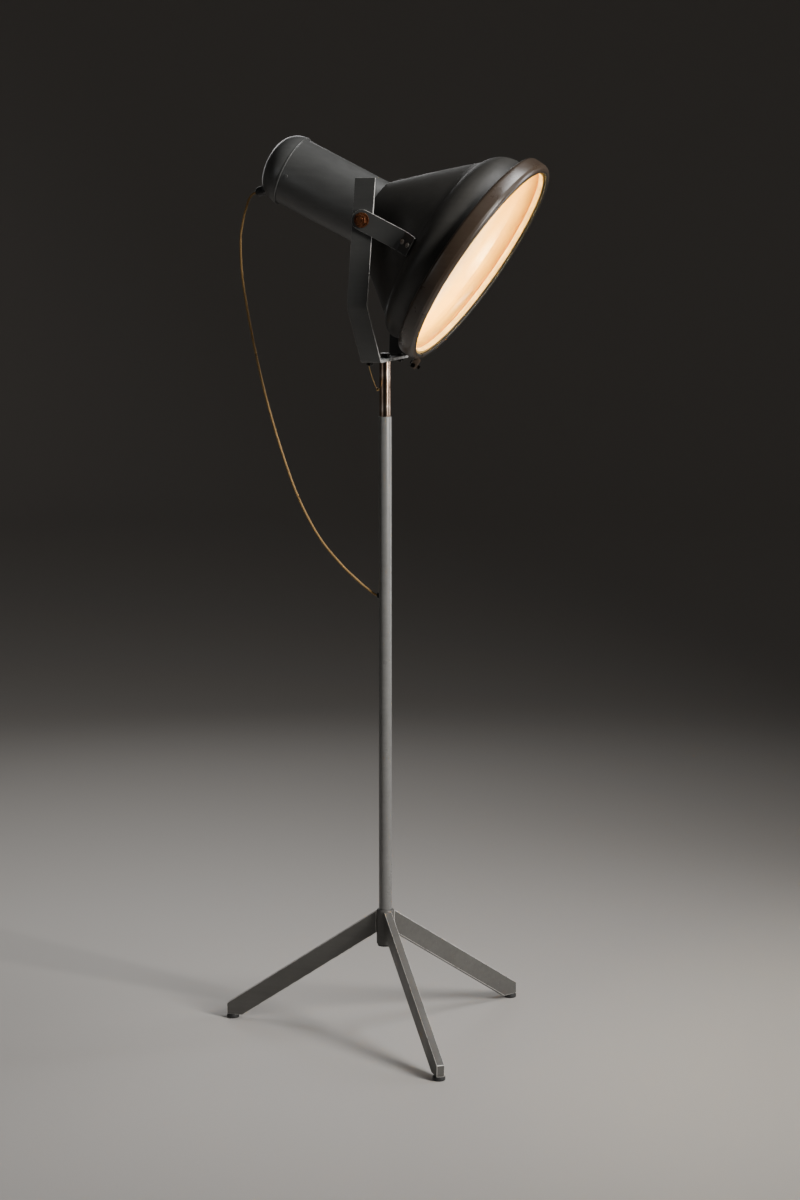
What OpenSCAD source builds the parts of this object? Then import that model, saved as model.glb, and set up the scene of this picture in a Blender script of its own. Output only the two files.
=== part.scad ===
// Tripod floor lamp: a bell spotlight in a flat-bar yoke on a slim telescoping pole.
// Origin on the floor at the pole axis. +X is the way the head faces, +Z is up.
// The tilt axis lies along Y. Lengths in millimetres.

/* [Head] */
// Downward tilt of the head at rest
tilt = 26.5; // [22:0.5:29]
// Height of the tilt axis
pivot_z = 1559; // [1500:1:1620]
// Outer radius of the rear housing
housing_r = 65; // [60:0.5:66]
// Station of the housing's rear end behind the tilt axis
housing_back = -208; // [-209:0.5:-206]
// Station of the seam between housing and shade
seam_s = -20; // [-24:1:-16]
// Sheet thickness of the spun pieces
sheet = 1.6; // [1.2:0.1:2]
// Outer radius of the rear cap
cap_r = 67.5; // [67:0.1:68.5]
// Station of the rear cap's flat back
cap_back = -245.5; // [-246.5:0.5:-245]
// Corner radius of the rear cap
cap_round = 42.5; // [42:0.5:42.5]
// Radius of the shade where the cone ends
cone_r = 174; // [174:0.5:180]
// Station where the cone ends
cone_s = 112; // [110:1:114]
// Station of the shade's front rim
rim_s = 189; // [187:1:191]
// Height of the rim's centre above the head's axis
rim_u = 11; // [9:0.5:12]
// Skew of the rim against the head's axis
rim_tilt = 7.5; // [6:0.5:8]
// Outer radius of the clamp ring
ring_r = 216; // [215:0.5:218]
// Reach of the clamp ring ahead of the rim
ring_front = 16; // [15:1:18]
// Radius of the front glass
glass_r = 205; // [204:0.5:205]
// Thickness of the front glass
glass_t = 4; // [4:0.5:4]

/* [Yoke] */
// Width of the flat bar
bar_w = 38; // [36:1:40]
// Thickness of the flat bar
bar_t = 5; // [4:0.5:6]
// Distance from the middle plane to the arm's outer face
arm_y = 152; // [148:1:153]
// Arm length above the tilt axis
arm_above = 76; // [60:1:77]
// Distance from the tilt axis down to the arm's bend
arm_bend = 156; // [150:1:160]
// Forward lean of the arms above their bend
arm_lean = 4; // [0:0.5:4.5]
// Half length of the yoke's base
base_half = 97; // [92:1:100]
// Distance from the tilt axis down to the base's underside
base_drop = 262; // [261:1:268]

/* [Mast and pole] */
// Outer radius of the sliding mast
mast_r = 11; // [10.5:0.05:11]
// Height of the mast's lower end
mast_bottom = 1000; // [980:5:1030]
// Outer radius of the pole
pole_r = 12.5; // [12.5:0.1:13]
// Inner radius of the pole
pole_bore = 11.05; // [11.05:0.01:11.1]
// Height of the pole's top edge
pole_top = 1191; // [1185:1:1195]
// Height of the cord's entry into the pole
entry_z = 850; // [840:5:860]

/* [Stand] */
// Outer radius of the hub
hub_r = 17; // [16.5:0.5:18]
// Height of the hub's top edge
hub_top = 240; // [238:1:244]
// Distance from the pole to the back glide
reach_back = 312; // [305:1:330]
// Distance from the pole to the two front glides
reach_front = 338; // [325:1:345]
// Direction of the front legs from straight ahead
front_az = 57.5; // [55:0.5:62]
// Width of the leg's section
leg_w = 15; // [14:0.5:16]
// Height of the leg's section, square to its slope
leg_h = 36; // [34:1:40]
// Height of a leg's top edge at its tip
tip_top = 30; // [27:1:33]
// Wall of the leg's tube
leg_wall = 2; // [1.5:0.5:2.5]
// Height of the glides
glide_h = 8; // [6:1:9]
// Radius of the glides
glide_r = 12; // [11:0.5:12.5]

/* [Cord] */
// Diameter of the braided cord
cord_d = 4.5; // [4:0.1:4.6]

/* [Hidden] */
$fn = 96;

// Colours
enamel_c = [0.13, 0.13, 0.13];
paint_c = [0.33, 0.34, 0.34];
pole_c = [0.5, 0.5, 0.48];
bar_c = [0.2, 0.21, 0.21];
steel_c = [0.55, 0.5, 0.45];
rust_c = [0.45, 0.25, 0.13];
black_c = [0.05, 0.05, 0.05];
cord_c = [0.55, 0.4, 0.15];
brass_c = [0.7, 0.55, 0.25];
white_c = [0.92, 0.88, 0.8];

// Derived stations and radii
bore_r = housing_r - 1.5;
neck_s = seam_s - 16;
shade_start_r = housing_r + 2;
crease_u = 7.5;
crease_tilt = 4.5;
rim_neck = -24;
rim_neck_r = 194.5;
flange_r = 208;
gasket_front = 10;
gasket_out = 209;
gasket_in = 198;
glass_x = (gasket_front - glass_t) / 2;
ring_back = -20;
ring_wall = 3;
ring_open = 202;
ear_z = ring_r + 12;
ear_x = 12;
ear_past = 6;
ear_root = 2.6;
ear_gap = 4;
ear_t = 3;

yoke_z = pivot_z - base_drop;
arm_mid = arm_y - bar_t / 2;
strap_gap = 0.4;
strap_t = 4;
strap_y = arm_y + strap_gap;
bolt_r = 6;
bolt_fit = 0.05;
nut_fit = 0.15;
cone_slope = atan2(cone_r - shade_start_r, cone_s - seam_s);
strap_lift = 0.8;
strap_end = 33;
strap_round = 5;
strap_bend_s = seam_s + (strap_y - strap_lift / cos(cone_slope) - shade_start_r) / tan(cone_slope);
strap_holes = [8, 26];
strap_hole_r = 2.5;

gland_dir = 44;
gland_s = cap_back + cap_round - cap_round * cos(gland_dir);
gland_z = -(cap_r - cap_round) - cap_round * sin(gland_dir);
gland_tip = 20;
gland_thread = 6;
screw_angles = [95, 215, 335];
screw_s = -190;
screw_r = 2;

mast_wall = 1.5;
plug_h = 14;
yoke_bolt_r = 5;
bond_x = -8;
bond_y = -78;
bond_r = 3;
bond_z = yoke_z - 55;
bush_gap = 0.3;
bush_h = 8;
bush_spigot = 25;

hub_bottom = 172;
pole_bottom = 176;
leg_in = hub_r - 0.6;
leg_top = 233;
leg_ref = 22;
tip_past = 10;
cord_r = cord_d / 2;
grommet_r = 3.5;
lock_az = 106;
lock_z = pole_top - 22;

// Small vector helpers for bent bars, spun sheet and swept cords
function unit(v) = v / norm(v);
function perp(v) = [-v[1], v[0]];
function turned(l) = [for (i = [len(l) - 1:-1:0]) l[i]];
function fillet(a, b, c, r, n) =
    let (u = unit(a - b), v = unit(c - b), ang = acos(u * v), d = r / tan(ang / 2))
    let (cen = b + unit(u + v) * r / sin(ang / 2), p = b + u * d - cen, q = b + v * d - cen)
    let (a0 = atan2(p[1], p[0]), a1 = atan2(q[1], q[0]), da = (a1 - a0 + 540) % 360 - 180)
    [for (i = [0:n]) cen + r * [cos(a0 + da * i / n), sin(a0 + da * i / n)]];
function rounded(p, r, n) = concat([p[0]],
    [for (i = [1:len(p) - 2]) each fillet(p[i - 1], p[i], p[i + 1], r, n)], [p[len(p) - 1]]);
function beside(p, h) = [for (i = [0:len(p) - 1])
    let (last = len(p) - 1, a = i > 0 ? unit(p[i] - p[i - 1]) : unit(p[1] - p[0]))
    let (b = i < last ? unit(p[i + 1] - p[i]) : a, n = unit(perp(a) + perp(b)))
    p[i] + n * h / (n * perp(a))];
function strip(p, t) = concat(beside(p, t / 2), turned(beside(p, -t / 2)));
function arc(cen, r, a, b, n) = [for (i = [0:n])
    let (t = a + (b - a) * i / n) cen + r * [cos(t), sin(t)]];
function spline_point(a, b, c, d, t) = 0.5 * (2 * b + (c - a) * t
    + (2 * a - 5 * b + 4 * c - d) * t * t + (3 * b - 3 * c + d - a) * t * t * t);
function spline(p, n) = [for (i = [0:len(p) - 2], k = [0:n - 1])
    spline_point(p[max(i - 1, 0)], p[i], p[i + 1], p[min(i + 2, len(p) - 1)], k / n)];
function tangent(p, i) = unit(p[min(i + 1, len(p) - 1)] - p[max(i - 1, 0)]);

function mix(a, b, k) = a + (b - a) * k;

// The shade's sections are circles. Their centres rise and their planes lean as they near the rim.
crease_at = [cone_s, crease_u, crease_tilt];
rim_neck_at = [rim_s + rim_neck * cos(rim_tilt), rim_u - rim_neck * sin(rim_tilt), rim_tilt];
function section_at(t) =
    t <= seam_s ? [t, 0, 0]
    : t <= cone_s ? let (k = (t - seam_s) / (cone_s - seam_s)) mix([seam_s, 0, 0], crease_at, k)
    : t <= rim_s + rim_neck ? mix(crease_at, rim_neck_at, (t - cone_s) / (rim_s + rim_neck - cone_s))
    : [rim_s + (t - rim_s) * cos(rim_tilt), rim_u - (t - rim_s) * sin(rim_tilt), rim_tilt];
function section(t, r, n) = let (c = section_at(t))
    [for (i = [0:n - 1]) let (a = 360 * i / n)
        [c[0] + r * cos(a) * sin(c[2]), r * sin(a), c[1] + r * cos(a) * cos(c[2])]];

// Closed skin through the circles of a ring-shaped outline [[station, radius], ...]
module lofted(p, n) {
    rings = [for (v = p) each section(v[0], v[1], n)];
    skin = [for (i = [0:len(p) - 1], k = [0:n - 1])
        let (j = (i + 1) % len(p), a = i * n, b = j * n, m = (k + 1) % n)
        each [[a + k, b + k, b + m], [a + k, b + m, a + m]]];
    polyhedron(points = rings, faces = skin, convexity = 8);
}

// Tube swept along points that run near the XZ plane, from one point to another, closed at both ends.
// Its last ring stops short of the point by a gap.
module swept(p, r, sides, first = 0, last = -1, gap = 0) {
    stop = last < 0 ? len(p) - 1 : last;
    rings = [for (i = [first:stop])
        let (t = tangent(p, i), e = unit(cross(t, [0, 1, 0])), f = cross(t, e))
        for (k = [0:sides - 1])
            p[i] - t * (i == stop ? gap : 0) + r * (e * cos(360 * k / sides) + f * sin(360 * k / sides))];
    walls = [for (i = [0:stop - first - 1], k = [0:sides - 1])
        let (a = i * sides + k, b = i * sides + (k + 1) % sides)
        [a, b, b + sides, a + sides]];
    start = [for (k = [sides - 1:-1:0]) k];
    end = [for (k = [0:sides - 1]) (stop - first) * sides + k];
    polyhedron(points = rings, faces = concat(walls, [start, end]), convexity = 8);
}

// Head frame: X forward along the lamp, origin on the tilt axis
module at_head() {
    translate([0, 0, pivot_z])
        rotate([0, tilt, 0])
            children();
}

// Rim frame: X square to the front opening, origin at the rim's centre
module at_rim() {
    at_head()
        translate([rim_s, 0, rim_u])
            rotate([0, rim_tilt, 0])
                children();
}

// Body of revolution about the X axis from points [station, radius]
module spun(p) {
    rotate([0, 90, 0])
        rotate_extrude($fn = 128)
            polygon([for (v = p) [v[1], v[0]]]);
}

// Cylinder along X
module rod_x(r, h, fn = 48) {
    rotate([0, 90, 0])
        cylinder(r = r, h = h, $fn = fn);
}

// Cylinder along Y, growing towards +Y
module rod_y(r, h, fn = 48) {
    rotate([-90, 0, 0])
        cylinder(r = r, h = h, $fn = fn);
}

// Both sides of the middle plane
module both_sides() {
    for (m = [0, 1])
        mirror([0, m, 0])
            children();
}

// ---------- stand ----------

module hub() {
    color(pole_c)
        rotate_extrude()
            polygon([[pole_r, hub_bottom], [hub_r, hub_bottom], [hub_r, hub_top - 3],
                [hub_r - 2, hub_top], [pole_r, hub_top]]);
}

module hub_plug() {
    color(black_c)
        rotate_extrude()
            polygon([[cord_r, hub_bottom - 4], [15, hub_bottom - 4], [15, hub_bottom],
                [pole_r, hub_bottom], [pole_r, pole_bottom], [cord_r, pole_bottom]]);
}

function leg_slope(reach) = atan((leg_top - tip_top) / (reach + tip_past - leg_ref));
function leg_line(reach, r) = leg_top - tan(leg_slope(reach)) * (r - leg_ref);

// Side outline of a leg, drawn inset by a wall thickness
module leg_outline(reach, inset) {
    slope = leg_slope(reach);
    near = leg_in - (inset > 0 ? 1 : 0);
    far = reach + tip_past - inset;
    top = inset / cos(slope);
    under = (leg_h - inset) / cos(slope);
    heel = leg_ref + (leg_top - under - glide_h - inset) / tan(slope);
    polygon([[near, leg_line(reach, near) - top], [far, leg_line(reach, far) - top],
        [far, glide_h + inset], [heel, glide_h + inset], [near, leg_line(reach, near) - under]]);
}

module leg(az, reach) {
    color(pole_c)
        rotate([0, 0, az])
            difference() {
                rotate([90, 0, 0])
                    linear_extrude(leg_w, center = true)
                        leg_outline(reach, 0);
                rotate([90, 0, 0])
                    linear_extrude(leg_w - 2 * leg_wall, center = true)
                        leg_outline(reach, leg_wall);
                cylinder(r = hub_r, h = 300);
            }
}

module leg_back() {
    leg(180, reach_back);
}

module leg_left() {
    leg(front_az, reach_front);
}

module leg_right() {
    leg(-front_az, reach_front);
}

module glides() {
    color(black_c)
        for (foot = [[180, reach_back], [front_az, reach_front], [-front_az, reach_front]])
            rotate([0, 0, foot[0]])
                translate([foot[1], 0, 0])
                    rotate_extrude($fn = 48)
                        polygon([[0, 0], [glide_r - 1.5, 0], [glide_r, 1.5],
                            [glide_r, glide_h - 2], [glide_r - 1, glide_h], [0, glide_h]]);
}

module pole() {
    color(pole_c)
        difference() {
            translate([0, 0, pole_bottom])
                cylinder(r = pole_r, h = pole_top - pole_bottom);
            translate([0, 0, pole_bottom - 1])
                cylinder(r = pole_bore, h = pole_top - pole_bottom + 2);
            translate([-pole_r - 2, 0, entry_z])
                rod_x(grommet_r, pole_r);
            rotate([0, 0, lock_az])
                translate([5, 0, lock_z])
                    rod_x(3, 10);
        }
}

module pole_grommet() {
    color(black_c)
        difference() {
            union() {
                translate([-pole_bore, 0, entry_z])
                    mirror([1, 0, 0])
                        rod_x(grommet_r, 2);
                translate([-pole_r, 0, entry_z])
                    mirror([1, 0, 0])
                        rod_x(5.5, 2.5);
            }
            translate([0, 0, pole_bottom])
                cylinder(r = pole_r, h = pole_top - pole_bottom);
            translate([-pole_r - 4, 0, entry_z])
                rod_x(cord_r, 10);
        }
    color(black_c)
        difference() {
            intersection() {
                translate([-pole_r - 1, 0, entry_z])
                    rod_x(grommet_r, 4);
                translate([0, 0, entry_z - 10])
                    cylinder(r = pole_r, h = 20);
            }
            translate([0, 0, entry_z - 10])
                cylinder(r = pole_bore, h = 20);
            translate([-pole_r - 4, 0, entry_z])
                rod_x(cord_r, 10);
        }
}

module lock_nut() {
    color(steel_c)
        rotate([0, 0, lock_az])
            difference() {
                translate([pole_r - 0.5, 0, lock_z])
                    rod_x(7, 6.5, 6);
                translate([0, 0, lock_z - 10])
                    cylinder(r = pole_r, h = 20);
                translate([pole_r - 2, 0, lock_z])
                    rod_x(3, 10);
            }
}

module lock_screw() {
    color(steel_c)
        rotate([0, 0, lock_az])
            translate([0, 0, lock_z])
                difference() {
                    union() {
                        translate([mast_r + 0.3, 0, 0])
                            rod_x(3, 12);
                        translate([pole_r + 7.5, 0, 0])
                            rod_x(5, 6);
                    }
                    translate([pole_r + 10.5, 0, 0])
                        rod_x(2.9, 4, 6);
                }
}

lead_route = [[-pole_bore + 0.4, 0, entry_z], [-7, 0, entry_z - 1], [-3, 0, entry_z - 5],
    [-1, 0, entry_z - 12], [0, 0, entry_z - 24], [0, 0, entry_z - 200], [0, 0, entry_z - 400],
    [0, 0, pole_bottom], [0, 0, hub_bottom - 4]];

module pole_lead() {
    color(cord_c)
        swept(lead_route, cord_r, 10);
}

// ---------- sliding bush ----------

module mast_bush() {
    color(white_c)
        rotate_extrude()
            polygon([[5, mast_bottom - bush_gap - bush_h], [mast_r, mast_bottom - bush_gap - bush_h],
                [mast_r, mast_bottom - bush_gap],
                [mast_r - mast_wall - bolt_fit, mast_bottom - bush_gap],
                [mast_r - mast_wall - bolt_fit, mast_bottom + bush_spigot],
                [5, mast_bottom + bush_spigot]]);
}

// ---------- mast and yoke ----------

module mast() {
    color(steel_c)
        difference() {
            translate([0, 0, mast_bottom])
                cylinder(r = mast_r, h = yoke_z - mast_bottom);
            translate([0, 0, mast_bottom - 1])
                cylinder(r = mast_r - mast_wall, h = yoke_z - mast_bottom + 2);
            translate([-mast_r - 1, 0, bond_z])
                rod_x(2, 4);
        }
}

module mast_plug() {
    color(steel_c)
        translate([0, 0, yoke_z - plug_h])
            difference() {
                cylinder(r = mast_r - mast_wall, h = plug_h);
                translate([0, 0, -1])
                    cylinder(r = yoke_bolt_r, h = plug_h + 2);
            }
}

bend_z = pivot_z - arm_bend;
bend_x = -arm_bend * tan(arm_lean);
arm_tip = [arm_mid, pivot_z + arm_above];
arm_corner = [arm_mid, bend_z];
base_corner = [base_half, yoke_z + bar_t / 2];
base_middle = [0, yoke_z + bar_t / 2];
half_yoke = concat(fillet(base_middle, base_corner, arm_corner, 9, 5),
    fillet(base_corner, arm_corner, arm_tip, 36, 6), [arm_tip]);
yoke_line = concat([for (p = turned(half_yoke)) [-p[0], p[1]]], half_yoke);

// Place of the bar's middle along X: level on the base, back to the bend, then forward
function bar_x(z) = z > bend_z ? (z - pivot_z) * tan(arm_lean)
    : z > yoke_z + bar_t ? bend_x * (z - yoke_z - bar_t) / (bend_z - yoke_z - bar_t)
    : 0;

// Flat bar along a line in the YZ plane, its width along X
module leaning_bar(line, w, t) {
    n = len(line);
    skins = [beside(line, t / 2), beside(line, -t / 2)];
    points = [for (m = [-1, 1], skin = skins, p = skin) [bar_x(p[1]) + m * w / 2, p[0], p[1]]];
    one = [for (i = [0:n - 2], f = [[i, i + 1, n + i], [i + 1, n + i + 1, n + i]]) f];
    two = [for (f = one) [2 * n + f[2], 2 * n + f[1], 2 * n + f[0]]];
    upper = [for (i = [0:n - 2]) [i, 2 * n + i, 2 * n + i + 1, i + 1]];
    lower = [for (i = [0:n - 2]) [n + i + 1, 3 * n + i + 1, 3 * n + i, n + i]];
    ends = [[0, n, 3 * n, 2 * n], [n - 1, 3 * n - 1, 4 * n - 1, 2 * n - 1]];
    polyhedron(points = points, faces = concat(one, two, upper, lower, ends), convexity = 8);
}

module yoke() {
    color(bar_c)
        difference() {
            leaning_bar(yoke_line, bar_w, bar_t);
            both_sides()
                translate([0, arm_y - bar_t - 1, pivot_z])
                    rod_y(bolt_r + bolt_fit, bar_t + 2);
            translate([0, 0, yoke_z - 1])
                cylinder(r = yoke_bolt_r, h = bar_t + 2, $fn = 48);
            for (m = [-1, 1])
                translate([m * bond_x, m * bond_y, yoke_z - 1])
                    cylinder(r = bond_r, h = bar_t + 2, $fn = 48);
        }
}

module yoke_washer() {
    color(steel_c)
        translate([0, 0, yoke_z + bar_t])
            difference() {
                cylinder(r = 11, h = 2);
                translate([0, 0, -1])
                    cylinder(r = yoke_bolt_r, h = 4, $fn = 48);
            }
}

module yoke_bolt() {
    color(steel_c) {
        translate([0, 0, yoke_z - plug_h + 2])
            cylinder(r = yoke_bolt_r, h = plug_h + bar_t, $fn = 48);
        translate([0, 0, yoke_z + bar_t + 2])
            cylinder(r = 9.5, h = 6.5, $fn = 6);
    }
}

module bond_bolts() {
    color(steel_c)
        for (m = [-1, 1])
            translate([m * bond_x, m * bond_y, yoke_z]) {
                translate([0, 0, -7])
                    cylinder(r = bond_r, h = bar_t + 7, $fn = 48);
                translate([0, 0, bar_t])
                    cylinder(r = 5.8, h = 4, $fn = 6);
            }
}

module bond_nuts() {
    color(black_c)
        for (m = [-1, 1])
            translate([m * bond_x, m * bond_y, yoke_z - 5])
                difference() {
                    cylinder(r = 6.2, h = 5, $fn = 6);
                    translate([0, 0, -1])
                        cylinder(r = bond_r, h = 7, $fn = 48);
                }
}

module bond_screw() {
    color(brass_c)
        translate([0, 0, bond_z]) {
            translate([-mast_r - 2.5, 0, 0])
                rod_x(2, 4.5);
            translate([-mast_r - 5, 0, 0])
                rod_x(3.6, 2.5);
        }
}

wire_route = [[bond_x - 3, bond_y + 7, yoke_z - 3], [bond_x - 5, bond_y + 14, yoke_z - 8],
    [bond_x - 6, bond_y + 26, yoke_z - 17], [bond_x - 7, bond_y + 42, yoke_z - 30],
    [bond_x - 7, bond_y + 58, yoke_z - 43], [bond_x - 6.5, bond_y + 68, yoke_z - 51],
    [bond_x - 5.5, bond_y + 73.2, yoke_z - 54]];

// The wire runs mostly along Y, so its rings are built about the X axis
module bond_wire() {
    color(brass_c)
        rotate([0, 0, 90])
            swept([for (p = wire_route) [p[1], -p[0], p[2]]], 0.7, 8);
}

// ---------- head ----------

module housing() {
    color(paint_c)
        at_head()
            difference() {
                spun([[housing_back, bore_r], [housing_back, housing_r], [seam_s, housing_r],
                    [seam_s, bore_r]]);
                for (a = screw_angles)
                    rotate([a, 0, 0])
                        translate([screw_s, 0, bore_r - 2])
                            cylinder(r = screw_r, h = 6, $fn = 32);
            }
}

cap_arc_at = [cap_back + cap_round, cap_r - cap_round];
cap_front = -200;
cap_outer = concat([[cap_front, cap_r], [cap_front - 0.5, cap_r + 0.8],
    [cap_front - 2, cap_r + 0.8], [cap_front - 2.5, cap_r]],
    arc(cap_arc_at, cap_round, 90, 180, 8), [[cap_back, 0]]);
cap_inner = concat([[cap_back + sheet, 0]],
    turned(arc(cap_arc_at, cap_round - sheet, 100, 180, 8)),
    [[housing_back - 0.3, housing_r], [cap_front, housing_r]]);

// Gland frame: X points back into the head, against the cord's way out
module at_gland() {
    at_head()
        translate([gland_s, 0, gland_z])
            rotate([0, -gland_dir, 0])
                children();
}

module rear_cap() {
    color(paint_c)
        difference() {
            at_head()
                spun(concat(cap_outer, cap_inner));
            at_gland()
                translate([-10, 0, 0])
                    rod_x(gland_thread, 20);
        }
}

module housing_screws() {
    color(steel_c)
        at_head()
            for (a = screw_angles)
                rotate([a, 0, 0])
                    translate([screw_s, 0, 0]) {
                        translate([0, 0, bore_r - 2])
                            cylinder(r = screw_r, h = housing_r - bore_r + 2, $fn = 32);
                        translate([0, 0, housing_r])
                            cylinder(r = 3.6, h = 1.6, $fn = 32);
                    }
}

module gland_body() {
    color(black_c)
        at_gland()
            difference() {
                union() {
                    translate([-10, 0, 0])
                        rod_x(gland_thread, 20);
                    translate([-5, 0, 0])
                        rod_x(9.5, 4.6, 6);
                }
                translate([-11, 0, 0])
                    rod_x(cord_r, 22);
            }
}

module gland_nut() {
    color(black_c)
        at_gland()
            rotate([0, -90, 0])
                rotate_extrude($fn = 64)
                    polygon([[gland_thread, 5], [9, 5], [9, 14], [7, 18], [5, gland_tip],
                        [cord_r, gland_tip], [cord_r, 10], [gland_thread, 10]]);
}

// Rounded shoulder between the cone and the neck: share of the way, radius
shoulder = [[0.06, 180], [0.17, 187], [0.3, 192.3], [0.46, 196], [0.63, 197], [0.8, 196.3],
    [1, rim_neck_r]];
shade_line = concat([[seam_s, shade_start_r], [cone_s, cone_r]],
    [for (v = shoulder) [mix(cone_s, rim_s + rim_neck, v[0]), v[1]]],
    [[rim_s - 16, 195.5], [rim_s - 9, 198.5], [rim_s - 4, 203], [rim_s - sheet, flange_r]]);

shade_inside = concat(
    [[seam_s + sheet, shade_start_r + sheet * tan(cone_slope) - sheet / cos(cone_slope)]],
    [for (i = [1:len(shade_line) - 1]) beside(shade_line, -sheet)[i]]);

module at_strap_screw(d) {
    translate([strap_bend_s, strap_y, 0])
        rotate([0, 0, cone_slope])
            translate([d, 0, 0])
                children();
}

module shade() {
    color(enamel_c)
        at_head()
            difference() {
                lofted(concat([[neck_s, bore_r], [seam_s, bore_r]], shade_line,
                    [[rim_s, flange_r]], turned(shade_inside),
                    [[seam_s + sheet, bore_r - sheet], [neck_s, bore_r - sheet]]), 72);
                both_sides()
                    for (d = strap_holes)
                        at_strap_screw(d)
                            translate([0, -8, 0])
                                rod_y(strap_hole_r, 12, 32);
            }
}

module clamp_ring() {
    color(enamel_c)
        at_rim() {
            difference() {
                spun([[ring_back, 201], [ring_back, 209], [ring_back + 1.5, 213],
                    [ring_back + 5, ring_r - 0.7], [ring_back + 9, ring_r],
                    [ring_front - 10, ring_r], [ring_front - 5, ring_r - 1.5],
                    [ring_front - 2, ring_r - 4], [ring_front - 0.5, ring_r - 7.5],
                    [ring_front, 205], [ring_front - 1, ring_open + 0.5],
                    [ring_front - 3, ring_open], [gasket_front, ring_open],
                    [gasket_front, ring_r - ring_wall - 1], [ring_back + 6, ring_r - ring_wall - 1],
                    [ring_back + 3, 211], [ring_back + 3, 201]]);
                translate([ring_back - 5, -ear_gap / 2, -ring_r - 5])
                    cube([ring_front - ring_back + 10, ear_gap, 30]);
            }
            both_sides()
                difference() {
                    translate([ear_x - 6, ear_gap / 2, -ear_z - ear_past])
                        cube([12, ear_t, ear_z + ear_past - ring_r + ear_root]);
                    translate([ear_x, 0, -ear_z])
                        rod_y(2.5, 10, 32);
                }
        }
}

module gasket() {
    color(black_c)
        at_rim()
            spun([[0, gasket_in], [0, gasket_out], [gasket_front, gasket_out],
                [gasket_front, gasket_in], [glass_x + glass_t, gasket_in],
                [glass_x + glass_t, glass_r], [glass_x, glass_r], [glass_x, gasket_in]]);
}

module glass() {
    color([0.9, 0.95, 0.95, 0.3])
        at_rim()
            translate([glass_x, 0, 0])
                rod_x(glass_r, glass_t, 128);
}

module clamp_screw() {
    color(steel_c)
        at_rim()
            translate([ear_x, 0, -ear_z]) {
                translate([0, -ear_gap / 2 - ear_t, 0])
                    rod_y(2.5, 19, 32);
                translate([0, -ear_gap / 2 - ear_t - 3.5, 0])
                    rod_y(4.5, 3.5, 6);
            }
}

module wing_nut() {
    color(steel_c)
        at_rim()
            translate([ear_x, ear_gap / 2 + ear_t + 0.3, -ear_z])
                difference() {
                    union() {
                        rod_y(4.6, 5, 32);
                        for (m = [-1, 1])
                            translate([m * 7 - 3.5, 1.2, -3])
                                cube([7, 2.6, 6]);
                    }
                    translate([0, -1, 0])
                        rod_y(2.5 + nut_fit, 8, 32);
                }
}

module strap() {
    line = rounded([[0, strap_y + strap_t / 2],
        [strap_bend_s - 0.6, strap_y + strap_t / 2],
        [strap_bend_s - 0.6 + strap_end * cos(cone_slope),
            strap_y + strap_t / 2 + strap_end * sin(cone_slope)]], 8, 5);
    front = line[len(line) - 1][0] + strap_t / 2 * sin(cone_slope);
    plan = rounded([[0, bar_w / 2], [front, bar_w / 2], [front, -bar_w / 2], [0, -bar_w / 2]],
        strap_round, 5);
    difference() {
        union() {
            intersection() {
                linear_extrude(bar_w, center = true)
                    polygon(strip(line, strap_t));
                translate([0, strap_y + strap_t + 40, 0])
                    rotate([90, 0, 0])
                        linear_extrude(50)
                            polygon(plan);
            }
            translate([0, strap_y, 0])
                rod_y(bar_w / 2, strap_t, 64);
        }
        translate([0, strap_y - 1, 0])
            rod_y(bolt_r, strap_t + 2);
        for (d = strap_holes)
            at_strap_screw(d)
                translate([0, -2, 0])
                    rod_y(strap_hole_r, strap_t + 6, 32);
    }
}

module strap_right() {
    color(bar_c)
        at_head()
            mirror([0, 1, 0])
                strap();
}

module strap_left() {
    color(bar_c)
        at_head()
            strap();
}

module strap_screws() {
    color(steel_c)
        at_head()
            both_sides()
                for (d = strap_holes)
                    at_strap_screw(d) {
                        translate([0, -6, 0])
                            rod_y(strap_hole_r, strap_t + 7.2, 32);
                        translate([0, strap_t + 0.4, 0])
                            rod_y(4.6, 2.4, 32);
                    }
}

module strap_nuts() {
    color(steel_c)
        at_head()
            both_sides()
                for (d = strap_holes)
                    at_strap_screw(d)
                        translate([0, -6, 0])
                            difference() {
                                rod_y(4.6, 3.6, 6);
                                translate([0, -1, 0])
                                    rod_y(strap_hole_r, 6, 32);
                            }
}

module pivot_bolts() {
    color(rust_c)
        at_head()
            both_sides() {
                translate([0, arm_y - bar_t - 0.4 - 7, 0])
                    rod_y(10, 7, 6);
                translate([0, arm_y - bar_t - 0.4, 0])
                    rod_y(bolt_r, bar_t + 0.8 + strap_t + 2 + 10 + 5);
            }
}

module pivot_washers() {
    color(rust_c)
        at_head()
            both_sides()
                translate([0, strap_y + strap_t, 0])
                    difference() {
                        rod_y(14, 2);
                        translate([0, -1, 0])
                            rod_y(bolt_r, 4);
                    }
}

module pivot_nuts() {
    color(rust_c)
        at_head()
            both_sides()
                translate([0, strap_y + strap_t + 2, 0])
                    difference() {
                        rod_y(10.6, 10, 6);
                        translate([0, -1, 0])
                            rod_y(bolt_r, 12);
                    }
}

module holder_plate() {
    color(steel_c)
        at_head()
            difference() {
                translate([-102, 0, 0])
                    rod_x(bore_r, 2);
                translate([-103, 0, 0])
                    rod_x(8, 4);
                for (m = [-1, 1])
                    translate([-103, m * 45, 0])
                        rod_x(6, 4, 32);
            }
}

module lamp_holder() {
    color(white_c)
        at_head()
            difference() {
                union() {
                    translate([-100, 0, 0])
                        rod_x(26, 12);
                    translate([-88, 0, 0])
                        rod_x(21, 34);
                }
                translate([-82, 0, 0])
                    rod_x(13.5, 40);
                translate([-101, 0, 0])
                    rod_x(8, 8);
            }
}

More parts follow.
